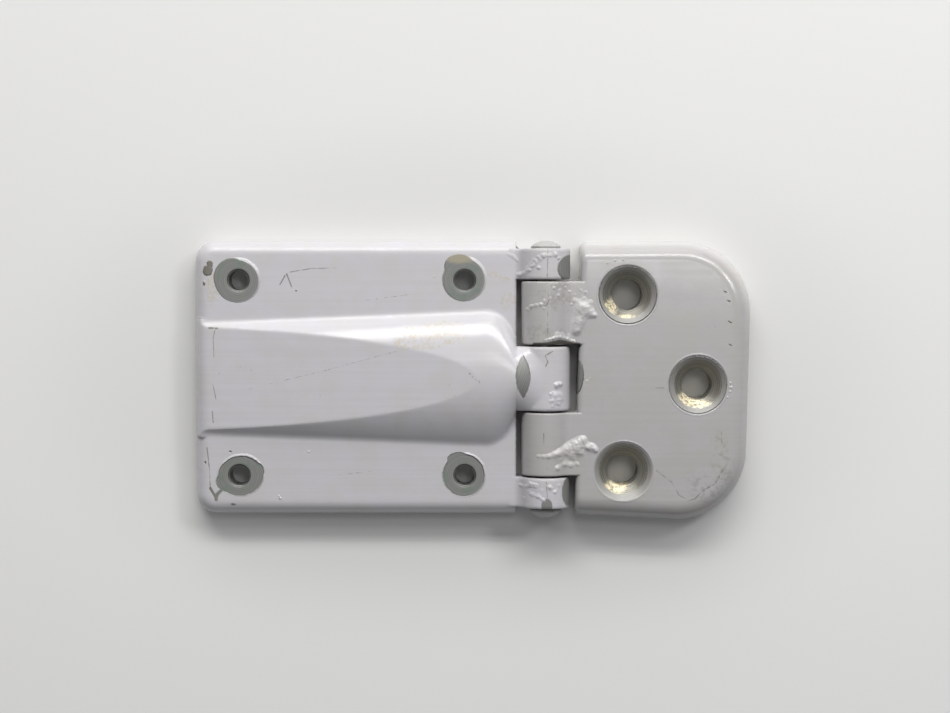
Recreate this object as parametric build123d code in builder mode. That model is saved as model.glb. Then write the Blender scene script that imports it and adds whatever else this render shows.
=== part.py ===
from build123d import *
import os
from math import sqrt

# Door hinge lying on its back, in millimetres. +Z is the painted front, +X runs from the
# fixed leaf to the door leaf, and the pin lies along Y. The origin is the middle of the
# four rivet holes, on the flat back of the fixed leaf.

# Both leaves
leaf_width = 44.45          # along the pin

# Fixed leaf: plate and rivet holes
plate_thickness = 4.8
plate_corner_radius = 3.2
plate_edge_radius = 2.2
slot_edge_radius = 0.4      # round the wall of the knuckle slots
rivet_pitch_x = 36.7
rivet_pitch_y = 31.75
rivet_hole_diameter = 3.26
end_margin = 7.1            # rivet row to the free end
slot_margin = 8.4           # rivet row to the wall of the knuckle slots

# Fixed leaf: fairing ridge with its flat ramp
ridge_height = 3.6          # crest above the plate
ridge_foot_start = 9.6      # half width of the foot at the free end
ridge_foot_margin = 6.3     # foot of the ridge beside the middle knuckle, where the nose begins
ridge_nose_setback = 5.0    # start of the nose to the slot wall
ridge_nose_length = 6.2     # of the whole nose, an ellipse in plan that the slot wall cuts off
ridge_nose_shares = (0, 0.35, 0.6, 0.78, 0.9)  # places of the sections along the nose
ridge_foot_radius = 1.8     # hollow fillet along the foot
foot_sink = 0.03            # depth at which each hollow fillet ends inside the plate
neck_root = 0.5             # how far the middle knuckle's neck starts inside the ridge
neck_step = 0.06            # fall from the ridge to that neck
ramp_start_height = 0.4     # ramp above the plate at the free end
ramp_tip_margin = 6.55      # tip of the ramp to the slot wall
ramp_end_radius = 2.5

# Knuckles and pin
knuckle_radius = 3.97
knuckle_lift = 0.1          # knuckles above the mounting face
slot_gap = 0.78             # door knuckles to the slot walls of the fixed leaf
middle_knuckle_length = 10.4
door_knuckle_length = 10.25
outer_step = 1.175          # outer knuckles behind the long edges of the leaf
side_gap = 0.3              # between neighbouring knuckles
fixed_blend_radius = 1.5
root_depth = 1.2            # how far each knuckle's neck runs into its plate
knuckle_rim_radius = 0.25
outer_web_radius = 0.7      # hollow corner from the wall to each outer knuckle
web_root = 0.5              # how far each hollow corner's web runs into its neighbours
pin_diameter = 3.175
fixed_bore_clearance = 0.02
door_bore_clearance = 0.05
head_diameter = 4.8
head_height = 1.25
tail_diameter = 5.1
tail_height = 1.5
tail_gap = 0.3              # under the formed tail
head_rim = 0.35             # straight side of each head, below its dome

# Door leaf
door_thickness = 6.35
door_flare = 0.95           # extra width where the round corners begin
door_reach = 33.1           # pin axis to the free edge
door_corner_radius = 11.5
door_edge_radius = 3.2
door_wall_edge_radius = 1.0
door_web_radius = 0.6       # hollow corners from the wall to the door knuckles
door_gap = 1.25             # fixed knuckles to the notch walls of the door leaf
door_blend_radius = 2.0
door_skew = 1.3             # degrees that the leaf sits askew of its knuckles
door_pair_reach = 12.9      # pin axis to the two screw holes in a row
door_pair_pitch = 28.6
door_single_reach = 24.6    # pin axis to the third screw hole
door_hole_shift = -0.45     # holes beside the middle of the leaf
screw_hole_diameter = 4.95
countersink_diameter = 9.8
countersink_angle = 100

# Derived places
free_end_x = -rivet_pitch_x / 2 - end_margin
slot_wall_x = rivet_pitch_x / 2 + slot_margin
plate_length = slot_wall_x - free_end_x
ridge_top = plate_thickness + ridge_height
ridge_foot_end = middle_knuckle_length / 2 + ridge_foot_margin
nose_start_x = slot_wall_x - ridge_nose_setback
ramp_tip_x = slot_wall_x - ramp_tip_margin
pin_x = slot_wall_x + slot_gap + knuckle_radius
pin_z = knuckle_lift + knuckle_radius
door_inner_y = middle_knuckle_length / 2 + side_gap
door_outer_y = door_inner_y + door_knuckle_length
outer_inner_y = door_outer_y + side_gap
outer_face_y = leaf_width / 2 - outer_step
outer_knuckle_length = outer_face_y - outer_inner_y
pin_axis = Axis((pin_x, 0, pin_z), (0, 1, 0))


def nose_foot(x):
    """Half width of the ridge's foot at a place along its nose."""
    return ridge_foot_end * sqrt(1 - ((x - nose_start_x) / ridge_nose_length) ** 2)


def crest_arc(foot):
    """Radius of the crest arc for a foot, and its share of the way to the fillet's centre."""
    rise = ridge_height + foot_sink
    reach = (foot**2 + rise**2) / (2 * rise)
    return reach - ridge_foot_radius, 1 - ridge_foot_radius / reach


def ridge_section(x, foot):
    """Sketch across the ridge: crest arc, hollow feet and a root inside the plate."""
    foot_z = plate_thickness - foot_sink
    root_z = plate_thickness / 2
    crest_radius, share = crest_arc(foot)
    join_y = foot * share
    join_z = ridge_top - crest_radius + (foot_z + ridge_foot_radius - ridge_top + crest_radius) * share
    with BuildSketch(Plane.YZ.offset(x)) as section:
        with BuildLine():
            TangentArc((foot, foot_z), (join_y, join_z), tangent=(-1, 0))
            ThreePointArc((join_y, join_z), (0, ridge_top), (-join_y, join_z))
            TangentArc((-foot, foot_z), (-join_y, join_z), tangent=(1, 0))
            Polyline((-foot, foot_z), (-foot, root_z), (foot, root_z), (foot, foot_z))
        make_face()
    return section.sketch


def knuckle(side, neck_top, blend_radius, wall, high_y, length):
    """Knuckle with its neck, which runs to -X (side -1) or +X (side 1) into a plate."""
    rise = neck_top + blend_radius - pin_z
    span = sqrt((knuckle_radius + blend_radius) ** 2 - rise**2)
    share = knuckle_radius / (knuckle_radius + blend_radius)
    join = (pin_x + side * span * share, pin_z + rise * share)
    neck_x = pin_x + side * wall
    root_x = neck_x + side * root_depth
    with BuildPart() as barrel:
        with BuildSketch(Plane.XZ.offset(-high_y)):
            with BuildLine():
                ThreePointArc((pin_x, knuckle_lift), (pin_x - side * knuckle_radius, pin_z), join)
                TangentArc((pin_x + side * span, neck_top), join, tangent=(-side, 0))
                Polyline(
                    (pin_x + side * span, neck_top),
                    (root_x, neck_top),
                    (root_x, 0),
                    (neck_x, 0),
                    (pin_x, knuckle_lift),
                )
            make_face()
        extrude(amount=length)
        fillet(barrel.faces().filter_by(Axis.Y).edges(), knuckle_rim_radius)
    return barrel.part


def corner_web(corner, side, turn, radius, height):
    """Upright web that makes a corner hollow; side and turn are its signs along X and Y."""
    x, y = corner
    arm_x = x + side * radius
    arm_y = y + turn * radius
    root = (x - side * web_root, y - turn * web_root)
    with BuildPart() as web:
        with BuildSketch():
            with BuildLine():
                TangentArc((arm_x, y), (x, arm_y), tangent=(-side, 0))
                Polyline((x, arm_y), (root[0], arm_y), root, (arm_x, root[1]), (arm_x, y))
            make_face()
        extrude(amount=height)
    return web.part


# The ridge, cut to its ramp and rounded at the free end
with BuildPart() as ridge:
    loft([ridge_section(free_end_x, ridge_foot_start), ridge_section(nose_start_x, ridge_foot_end)])
    nose_stations = [nose_start_x + ridge_nose_length * share for share in ridge_nose_shares]
    loft([ridge_section(x, nose_foot(x)) for x in nose_stations])
    with BuildSketch(Plane.XZ.offset(-leaf_width / 2)):
        ramp_start = (free_end_x, plate_thickness + ramp_start_height)
        nose_end_x = nose_stations[-1]
        with BuildLine():
            Polyline(
                (free_end_x, 0),
                ramp_start,
                (ramp_tip_x, ridge_top),
                (nose_end_x, ridge_top),
                (nose_end_x, 0),
                close=True,
            )
        side_view = make_face()
        fillet(side_view.vertices().sort_by_distance((*ramp_start, 0))[0], ramp_end_radius)
    extrude(amount=leaf_width, mode=Mode.INTERSECT)

# Bridge from inside the end of the ridge to the crest of the middle knuckle
with BuildPart() as middle_neck:
    half_length = middle_knuckle_length / 2
    neck_radius = crest_arc(nose_foot(slot_wall_x))[0]
    neck_top = ridge_top - neck_step
    shoulder_z = neck_top - neck_radius + sqrt(neck_radius**2 - half_length**2)
    with BuildSketch(Plane.YZ.offset(slot_wall_x - neck_root)):
        with BuildLine():
            ThreePointArc((half_length, shoulder_z), (0, neck_top), (-half_length, shoulder_z))
            Polyline(
                (-half_length, shoulder_z),
                (-half_length, 0),
                (half_length, 0),
                (half_length, shoulder_z),
            )
        make_face()
    with BuildSketch(Plane.YZ.offset(pin_x)):
        with Locations((0, pin_z)):
            Rectangle(middle_knuckle_length, 2 * knuckle_radius)
    loft(ruled=True)

with BuildPart() as fixed_leaf:
    with BuildSketch():
        with Locations((free_end_x + plate_length / 2, 0)):
            Rectangle(plate_length, leaf_width)
    extrude(amount=plate_thickness)
    fillet(fixed_leaf.edges().filter_by(Axis.Z).group_by(Axis.X)[0], plate_corner_radius)
    plate_top = fixed_leaf.faces().sort_by(Axis.Z)[-1]
    fillet(plate_top.edges().sort_by(Axis.X)[:-1], plate_edge_radius)
    slot_wall = fixed_leaf.faces().sort_by(Axis.X)[-1]
    fillet(slot_wall.edges().sort_by(Axis.Z)[1:], slot_edge_radius)
    add(ridge.part)
    split(bisect_by=Plane.YZ.offset(slot_wall_x), keep=Keep.BOTTOM)
    add(middle_neck.part)
    fixed_neck_top = plate_thickness - foot_sink
    fixed_wall = pin_x - slot_wall_x
    for high_y, length in (
        (outer_face_y, outer_knuckle_length),
        (middle_knuckle_length / 2, middle_knuckle_length),
        (-outer_inner_y, outer_knuckle_length),
    ):
        add(knuckle(-1, fixed_neck_top, fixed_blend_radius, fixed_wall, high_y, length))
    for turn in (-1, 1):
        corner = (slot_wall_x, turn * outer_face_y)
        add(corner_web(corner, 1, turn, outer_web_radius, plate_thickness - plate_edge_radius))
    with GridLocations(rivet_pitch_x, rivet_pitch_y, 2, 2):
        Hole(rivet_hole_diameter / 2)
    with Locations(Location((pin_x, 0, pin_z), (90, 0, 0))):
        Hole(pin_diameter / 2 + fixed_bore_clearance)

# Door leaf, drawn on a plane at the pin that is turned by its skew
door_plane = Plane((pin_x, 0, 0), x_dir=Vector(1, 0, 0).rotate(Axis.Z, -door_skew))
with BuildPart() as door_leaf:
    wall_x = knuckle_radius + door_gap
    flare_x = door_reach - door_corner_radius
    half_start = leaf_width / 2
    half_end = (leaf_width + door_flare) / 2
    with BuildSketch(door_plane):
        with BuildLine():
            Polyline(
                (wall_x, -half_start),
                (flare_x, -half_end),
                (door_reach, -half_end),
                (door_reach, half_end),
                (flare_x, half_end),
                (wall_x, half_start),
                close=True,
            )
        door_face = make_face()
        fillet(door_face.vertices().group_by(Axis.X)[-1], door_corner_radius)
    extrude(amount=door_thickness)
    door_top = door_leaf.faces().sort_by(Axis.Z)[-1]
    fillet(door_top.edges().sort_by(Axis.X)[1:], door_edge_radius)
    door_wall = door_leaf.faces().sort_by(Axis.X)[0]
    fillet(door_wall.edges().sort_by(Axis.Z)[1:], door_wall_edge_radius)
    for high_y in (door_outer_y, -door_inner_y):
        add(knuckle(1, door_thickness, door_blend_radius, wall_x, high_y, door_knuckle_length))
    for y, turn in ((door_outer_y, 1), (door_inner_y, -1), (-door_inner_y, 1), (-door_outer_y, -1)):
        corner = door_plane.from_local_coords((wall_x, y))
        add(corner_web((corner.X, y), -1, turn, door_web_radius, door_thickness - door_wall_edge_radius))
    with Locations(door_plane.offset(door_thickness)):
        with Locations(
            (door_pair_reach, door_hole_shift + door_pair_pitch / 2),
            (door_pair_reach, door_hole_shift - door_pair_pitch / 2),
            (door_single_reach, door_hole_shift),
        ):
            CounterSinkHole(
                screw_hole_diameter / 2,
                countersink_diameter / 2,
                counter_sink_angle=countersink_angle,
            )
    with Locations(Location((pin_x, 0, pin_z), (90, 0, 0))):
        Hole(pin_diameter / 2 + door_bore_clearance)

# Pin with two domed heads, revolved from half its outline
with BuildPart() as hinge_pin:
    head_rim_y = outer_face_y + head_rim
    tail_face_y = -outer_face_y - tail_gap
    tail_rim_y = tail_face_y - head_rim
    with BuildSketch(Plane((pin_x, 0, pin_z))):
        with BuildLine():
            TangentArc((0, outer_face_y + head_height), (head_diameter / 2, head_rim_y), tangent=(1, 0))
            Polyline(
                (head_diameter / 2, head_rim_y),
                (head_diameter / 2, outer_face_y),
                (pin_diameter / 2, outer_face_y),
                (pin_diameter / 2, tail_face_y),
                (tail_diameter / 2, tail_face_y),
                (tail_diameter / 2, tail_rim_y),
            )
            TangentArc((0, tail_face_y - tail_height), (tail_diameter / 2, tail_rim_y), tangent=(1, 0))
            Line((0, tail_face_y - tail_height), (0, outer_face_y + head_height))
        make_face()
    revolve(axis=pin_axis)

fixed_leaf.part.label = "fixed_leaf"
door_leaf.part.label = "door_leaf"
hinge_pin.part.label = "hinge_pin"

os.makedirs("parts", exist_ok=True)
export_step(fixed_leaf.part, "parts/fixed_leaf.step")
export_step(door_leaf.part, "parts/door_leaf.step")
export_step(hinge_pin.part, "parts/hinge_pin.step")
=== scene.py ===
from math import cos, exp, pi, radians, sin

import bmesh
import bpy
from mathutils import Matrix, Vector, noise


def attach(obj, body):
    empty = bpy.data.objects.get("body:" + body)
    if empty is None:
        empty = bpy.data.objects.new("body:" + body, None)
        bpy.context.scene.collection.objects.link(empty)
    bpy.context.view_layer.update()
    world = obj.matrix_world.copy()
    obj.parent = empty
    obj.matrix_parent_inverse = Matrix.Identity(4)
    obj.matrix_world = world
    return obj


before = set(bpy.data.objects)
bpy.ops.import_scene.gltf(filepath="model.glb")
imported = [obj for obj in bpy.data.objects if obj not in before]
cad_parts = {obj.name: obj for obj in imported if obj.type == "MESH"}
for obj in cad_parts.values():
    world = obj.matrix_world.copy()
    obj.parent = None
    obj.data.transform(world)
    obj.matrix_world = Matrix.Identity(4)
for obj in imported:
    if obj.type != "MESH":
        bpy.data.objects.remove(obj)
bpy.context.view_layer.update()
mm = 0.001

# The door leaf sits a little askew of the pin, so its own places turn about this point
doorPlane = {
    "pinX": 31.5,
    "skew": radians(1.3),
}


def onDoor(reach, beside):
    # a place on the door leaf, from the pin axis and the leaf's middle line
    turn = doorPlane["skew"]
    x = doorPlane["pinX"] + reach * cos(turn) + beside * sin(turn)
    return (x, beside * cos(turn) - reach * sin(turn))


# Node helpers
def addNode(tree, kind, values=None, links=None):
    node = tree.nodes.new(kind)
    for name, value in (values or {}).items():
        setattr(node, name, value)
    for socket, value in (links or {}).items():
        if isinstance(value, bpy.types.NodeSocket):
            tree.links.new(value, node.inputs[socket])
        else:
            node.inputs[socket].default_value = value
    return node


def mathNode(tree, operation, first, second=0.0, third=0.0, clamp=False):
    values = {"operation": operation, "use_clamp": clamp}
    return addNode(tree, "ShaderNodeMath", values, {0: first, 1: second, 2: third}).outputs[0]


def vectorNode(tree, operation, first, second=(0, 0, 0), output=0):
    values = {"operation": operation}
    return addNode(tree, "ShaderNodeVectorMath", values, {0: first, 1: second}).outputs[output]


def mixColour(tree, share, first, second):
    links = {0: share, 6: first, 7: second}
    return addNode(tree, "ShaderNodeMix", {"data_type": "RGBA"}, links).outputs[2]


def mixValue(tree, share, first, second):
    links = {0: share, 2: first, 3: second}
    return addNode(tree, "ShaderNodeMix", {"data_type": "FLOAT"}, links).outputs[0]


def rangeNode(tree, value, low, high, newLow=0.0, newHigh=1.0):
    values = {"interpolation_type": "SMOOTHSTEP"}
    links = {"Value": value, 1: low, 2: high, 3: newLow, 4: newHigh}
    return addNode(tree, "ShaderNodeMapRange", values, links).outputs[0]


def noiseNode(tree, position, scale, detail=3.0, roughness=0.5):
    links = {"Vector": position, "Scale": scale, "Detail": detail, "Roughness": roughness}
    return addNode(tree, "ShaderNodeTexNoise", None, links).outputs[0]


def patchyMask(tree, position, grain, span):
    # noise of a scale, detail and roughness, kept between two thresholds
    return rangeNode(tree, noiseNode(tree, position, *grain), *span)


def layColour(tree, colour, mask, share, top):
    # one colour over another where the mask says, as strongly as its share
    return mixColour(tree, mathNode(tree, "MULTIPLY", mask, share), colour, top)


def newGroup(name, inputs, outputs):
    # a node group with named inputs and outputs, and its two end nodes
    tree = bpy.data.node_groups.new(name, "ShaderNodeTree")
    kinds = {"v": "NodeSocketVector", "f": "NodeSocketFloat"}
    for title, kind, default in inputs:
        socket = tree.interface.new_socket(title, in_out="INPUT", socket_type=kinds[kind])
        if default is not None:
            socket.default_value = default
    for title, kind in outputs:
        tree.interface.new_socket(title, in_out="OUTPUT", socket_type=kinds[kind])
    start = tree.nodes.new("NodeGroupInput").outputs
    end = tree.nodes.new("NodeGroupOutput").inputs
    return tree, start, end


def useGroup(tree, group, links):
    return addNode(tree, "ShaderNodeGroup", {"node_tree": group}, links).outputs


# Effects shared by the materials. Sizes are in millimetres, and a scale is waves for each of them.
# A grain is a noise's scale, detail and roughness, and a span is its two thresholds.
effectLook = {
    "raggedGrain": (3.0, 0.6),      # detail and roughness of a chipped rim
    "strokeCore": 0.4,              # share of a stroke's width that is fully marked
    "wobbleGrain": (1.1, 2.0),
    "wobble": 0.25,                 # how far a stroke strays
    "breakupShare": 0.6,
    "breakupRim": 0.08,
    "driftGrain": (0.8, 2.0),
    "drift": 0.35,                  # how unevenly turned rings are spaced
    "ringScale": 6.0,
    "ringGrain": (1.0, 4.0, 0.7),
    "ringWave": 0.06,
    "ringSpan": (0.36, 0.7),
    "swellGrain": (0.11, 2.0),
    "peelGrain": (1.6, 2.0),
    "cloudGrain": (0.22, 4.0, 0.62),
    "speckScale": 0.55,
    "speckSpan": (0.03, 0.09),
    "thinnedGrain": (0.4, 1.0),
    "thinnedSpan": (0.58, 0.64),
    "streakStretch": (0.014, 1.7, 0.4),
    "streakGrain": (1.0, 2.0, 0.6),
    "dirtShadeGrain": (0.9, 3.0, 0.65),
    "dirtShadeSpan": (0.3, 0.7),
    "leastDirtShade": 0.35,              # share of the dirt and painted shade that is left where it is thinnest
    "hollowSpan": (0.35, 0.85),     # how closed in a place is when dirt and painted shade gather there
}


def makePatchGroup(look):
    # an oval patch with a ragged rim, as paint leaves when it chips or wears through
    tree, start, end = newGroup(
        "raggedPatch",
        [
            ("Position", "v", None),
            ("Centre", "v", None),
            ("Half Size", "v", (1, 1, 1)),
            ("Turn", "f", 0.0),
            ("Softness", "f", 0.05),
            ("Raggedness", "f", 0.15),
            ("Grain", "f", 2.0),
        ],
        [("Mask", "f")],
    )
    offset = vectorNode(tree, "SUBTRACT", start["Position"], start["Centre"])
    turnLinks = {"Vector": offset, "Angle": start["Turn"]}
    turned = addNode(tree, "ShaderNodeVectorRotate", {"rotation_type": "Z_AXIS"}, turnLinks)
    scaled = vectorNode(tree, "DIVIDE", turned.outputs[0], start["Half Size"])
    flat = vectorNode(tree, "MULTIPLY", scaled, (1, 1, 0))
    reach = vectorNode(tree, "LENGTH", flat, output=1)
    ragged = noiseNode(tree, start["Position"], start["Grain"], *look["raggedGrain"])
    swing = mathNode(tree, "MULTIPLY", mathNode(tree, "SUBTRACT", ragged, 0.5), start["Raggedness"])
    rim = mathNode(tree, "ADD", reach, mathNode(tree, "MULTIPLY", swing, 2.0))
    low = mathNode(tree, "SUBTRACT", 1.0, start["Softness"])
    high = mathNode(tree, "ADD", 1.0, start["Softness"])
    tree.links.new(rangeNode(tree, rim, low, high, 1.0, 0.0), end["Mask"])
    return tree


def makeScratchGroup(look):
    # a straight stroke between two places, seen from the front
    tree, start, end = newGroup(
        "scratchStroke",
        [
            ("Position", "v", None),
            ("From", "v", None),
            ("To", "v", None),
            ("Width", "f", 0.08),
            ("Breakup", "f", 0.5),
            ("Grain", "f", 2.2),
        ],
        [("Mask", "f")],
    )
    flat = vectorNode(tree, "MULTIPLY", start["Position"], (1, 1, 0))
    first = vectorNode(tree, "MULTIPLY", start["From"], (1, 1, 0))
    last = vectorNode(tree, "MULTIPLY", start["To"], (1, 1, 0))
    along = vectorNode(tree, "SUBTRACT", last, first)
    offset = vectorNode(tree, "SUBTRACT", flat, first)
    share = mathNode(
        tree,
        "DIVIDE",
        vectorNode(tree, "DOT_PRODUCT", offset, along, 1),
        vectorNode(tree, "DOT_PRODUCT", along, along, 1),
        clamp=True,
    )
    scaleLinks = {0: along, 3: share}
    scaled = addNode(tree, "ShaderNodeVectorMath", {"operation": "SCALE"}, scaleLinks).outputs[0]
    away = vectorNode(tree, "DISTANCE", offset, scaled, 1)
    wobble = noiseNode(tree, start["Position"], *look["wobbleGrain"])
    wobble = mathNode(tree, "SUBTRACT", wobble, 0.5)
    away = mathNode(tree, "ABSOLUTE", mathNode(tree, "MULTIPLY_ADD", wobble, look["wobble"], away))
    core = mathNode(tree, "MULTIPLY", start["Width"], look["strokeCore"])
    stroke = rangeNode(tree, away, core, start["Width"], 1.0, 0.0)
    speckle = noiseNode(tree, start["Position"], start["Grain"], 2.0)
    threshold = mathNode(tree, "MULTIPLY", start["Breakup"], look["breakupShare"])
    low = mathNode(tree, "SUBTRACT", threshold, look["breakupRim"])
    high = mathNode(tree, "ADD", threshold, look["breakupRim"])
    kept = rangeNode(tree, speckle, low, high)
    tree.links.new(mathNode(tree, "MULTIPLY", stroke, kept), end["Mask"])
    return tree


def makeTurnedGroup(look):
    # fine rings left by a drill, countersink or rivet head
    tree, start, end = newGroup(
        "turnedRings",
        [("Position", "v", None), ("Centre", "v", None), ("Pitch", "f", 0.25)],
        [("Height", "f"), ("Shade", "f")],
    )
    offset = vectorNode(tree, "SUBTRACT", start["Position"], start["Centre"])
    offset = vectorNode(tree, "MULTIPLY", offset, (1, 1, 0))
    radius = vectorNode(tree, "LENGTH", offset, output=1)
    drift = noiseNode(tree, start["Position"], *look["driftGrain"])
    drift = mathNode(tree, "MULTIPLY", drift, look["drift"])
    turns = mathNode(tree, "DIVIDE", mathNode(tree, "ADD", radius, drift), start["Pitch"])
    wave = mathNode(tree, "SINE", mathNode(tree, "MULTIPLY", turns, 2 * pi))
    column = mathNode(tree, "MULTIPLY", radius, look["ringScale"])
    column = addNode(tree, "ShaderNodeCombineXYZ", None, {0: column}).outputs[0]
    streak = noiseNode(tree, column, *look["ringGrain"])
    height = mathNode(tree, "MULTIPLY_ADD", wave, look["ringWave"], streak)
    tree.links.new(height, end["Height"])
    tree.links.new(rangeNode(tree, height, *look["ringSpan"]), end["Shade"])
    return tree


def makeReliefGroup(look):
    # sprayed paint over a hand-finished casting: slow swells and a fine peel
    tree, start, end = newGroup(
        "sprayedRelief",
        [("Position", "v", None), ("Swell", "f", 1.0), ("Peel", "f", 1.0)],
        [("Height", "f"), ("Cloud", "f"), ("Speckle", "f"), ("Streak", "f")],
    )
    swell = noiseNode(tree, start["Position"], *look["swellGrain"])
    peel = noiseNode(tree, start["Position"], *look["peelGrain"])
    height = mathNode(tree, "MULTIPLY", peel, start["Peel"])
    height = mathNode(tree, "MULTIPLY_ADD", swell, start["Swell"], height)
    cloud = noiseNode(tree, start["Position"], *look["cloudGrain"])
    speckLinks = {"Vector": start["Position"], "Scale": look["speckScale"], "Randomness": 1.0}
    specks = addNode(tree, "ShaderNodeTexVoronoi", {"feature": "F1"}, speckLinks)
    speck = rangeNode(tree, specks.outputs["Distance"], *look["speckSpan"], 1.0, 0.0)
    thinned = patchyMask(tree, start["Position"], look["thinnedGrain"], look["thinnedSpan"])
    tree.links.new(height, end["Height"])
    tree.links.new(cloud, end["Cloud"])
    tree.links.new(mathNode(tree, "MULTIPLY", speck, thinned), end["Speckle"])
    stretched = vectorNode(tree, "MULTIPLY", start["Position"], look["streakStretch"])
    tree.links.new(noiseNode(tree, stretched, *look["streakGrain"]), end["Streak"])
    return tree


def makeCreviceShadeGroup(look):
    # grey dirt and painted shade where faces meet closely, found by ambient occlusion
    tree, start, end = newGroup(
        "creviceDirtAndShade",
        [("Position", "v", None), ("Reach", "f", 0.001), ("Amount", "f", 1.0)],
        [("Mask", "f")],
    )
    occlusion = addNode(tree, "ShaderNodeAmbientOcclusion", {"samples": 6}, {"Distance": start["Reach"]})
    hollow = rangeNode(tree, occlusion.outputs["AO"], *look["hollowSpan"], 1.0, 0.0)
    patchy = noiseNode(tree, start["Position"], *look["dirtShadeGrain"])
    patchy = rangeNode(tree, patchy, *look["dirtShadeSpan"], look["leastDirtShade"], 1.0)
    dirtAndShade = mathNode(tree, "MULTIPLY", hollow, patchy)
    tree.links.new(mathNode(tree, "MULTIPLY", dirtAndShade, start["Amount"], clamp=True), end["Mask"])
    return tree


patchGroup = makePatchGroup(effectLook)
scratchGroup = makeScratchGroup(effectLook)
turnedGroup = makeTurnedGroup(effectLook)
reliefGroup = makeReliefGroup(effectLook)
creviceShadeGroup = makeCreviceShadeGroup(effectLook)
print("effects made")

# Paint and bare metal of both leaves
paintLook = {
    "paint": (0.585, 0.575, 0.61, 1),
    "paintWarm": (0.56, 0.545, 0.53, 1),
    "black": (0, 0, 0, 1),
    "stain": (0.5, 0.42, 0.25, 1),
    "dirtAndShade": (0.12, 0.11, 0.1, 1),
    "dark": (0.13, 0.125, 0.12, 1),
    "crackShadow": (0.05, 0.044, 0.037, 1),
    "streak": (0.2, 0.18, 0.16, 1),
    "scuff": (0.27, 0.255, 0.235, 1),
    "bareDark": (0.225, 0.23, 0.22, 1),
    "bareLight": (0.33, 0.33, 0.315, 1),
    "chip": (0.24, 0.225, 0.185, 1),
    "primer": (0.16, 0.25, 0.195, 1),
    "tan": (0.45, 0.41, 0.3, 1),
    # tint of the painted highlights on the countersinks
    "glintTint": (0.92, 0.82, 0.56, 1),
    # how strongly each colour covers what lies below it
    "warmShare": 0.5,
    "streakShare": 0.05,
    "scuffShare": 0.45,
    "stainShare": 0.52,
    "speckleShare": 0.3,
    "strokeShare": 0.75,
    "crackShadowShare": 0.95,
    "chipShare": 0.8,
    "tanShare": 0.85,
    # noise of the effects, and softness of their rims in millimetres
    "cloudSpan": (0.35, 0.65),
    "scuffGrain": (0.9, 5.0, 0.7),
    "scuffSpan": (0.46, 0.6),
    "scuffRim": 1.5,
    "stainGrain": (1.7, 4.0, 0.7),
    "stainSpan": (0.42, 0.66),
    "primerGrain": (0.55, 4.0, 0.65),
    "primerSpan": (0.48, 0.62),
    "glintGrain": (1.9, 3.0, 0.7),
    "glintSpan": (0.34, 0.56),
    "glintRim": 0.8,
    "tanRim": 1.2,
    "lipRim": 0.2,
    # places in millimetres
    "frontSpan": (0.35, 0.45),   # the back is painted all over
    "dirtShadeSpan": (0.02, 0.3),     # the back, lying on the floor, gets no dirt or painted shade
    "edgeSpan": (4.6, 6.1),      # painted highlight: the rounded edge of the thicker leaf is spared the painted shade
    "upperSpan": (4.0, 16.0),    # but on its upper side only
    "primerSide": (24.0, 25.0),  # primer shows on the plate, and not beyond it
    "ringPitch": 0.3,
    "ringReach": 6,
    "dirtShadeReach": 0.0014,         # in metres
    # relief in millimetres
    "paintThickness": 0.13,
    "reliefHeight": 0.05,
    "bareRings": 0.02,
    # finish
    "roughness": 0.1,
    "cloudRoughness": 0.08,
    "streakRoughness": 0.05,
    "strokeRoughness": 0.25,
    "bareRoughness": 0.5,
    "machinedRoughness": 0.4,
    "bareMetal": 0.35,
    "rimMetal": 0.2,
    "glintMetal": -0.3,          # added to a cone's own where it glints
}


def markPosition(tree):
    # object coordinates in millimetres
    place = addNode(tree, "ShaderNodeTexCoord").outputs["Object"]
    scale = (1 / mm, 1 / mm, 1 / mm)
    return addNode(tree, "ShaderNodeMapping", None, {"Vector": place, "Scale": scale}).outputs[0]


def addMask(tree, total, mask):
    # joined at once, so that a material with many marks stays within the shader's memory
    return mask if total is None else mathNode(tree, "MAXIMUM", total, mask)


def patchMasks(tree, position, patches, rimWidth=0.11):
    total = None
    for centre, half, turn, ragged in patches:
        links = {
            "Position": position,
            "Centre": (*centre, 0),
            "Half Size": (*half, 1),
            "Turn": radians(turn),
            "Raggedness": ragged,
            "Softness": rimWidth / max(half),
        }
        total = addMask(tree, total, useGroup(tree, patchGroup, links)["Mask"])
    return total


def lensMasks(tree, position, lenses, ragged=0.03):
    # pointed ovals, each where two round patches overlap
    total = None
    for (x, y), width, height in lenses:
        radius = (height**2 + width**2) / (4 * width)
        shift = radius - width / 2
        left = patchMasks(tree, position, [((x - shift, y), (radius, radius), 0, ragged)])
        right = patchMasks(tree, position, [((x + shift, y), (radius, radius), 0, ragged)])
        total = addMask(tree, total, mathNode(tree, "MINIMUM", left, right))
    return total


def strokeMasks(tree, position, strokes):
    total = None
    for points, width, breakup in strokes:
        for first, last in zip(points, points[1:]):
            links = {
                "Position": position,
                "From": (*first, 0),
                "To": (*last, 0),
                "Width": width,
                "Breakup": breakup,
            }
            total = addMask(tree, total, useGroup(tree, scratchGroup, links)["Mask"])
    return total


def newMaterial(name):
    material = bpy.data.materials.new(name)
    material.use_nodes = True
    tree = material.node_tree
    tree.nodes.clear()
    shader = tree.nodes.new("ShaderNodeBsdfPrincipled")
    output = tree.nodes.new("ShaderNodeOutputMaterial")
    tree.links.new(shader.outputs[0], output.inputs[0])
    return material, tree, shader


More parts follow.
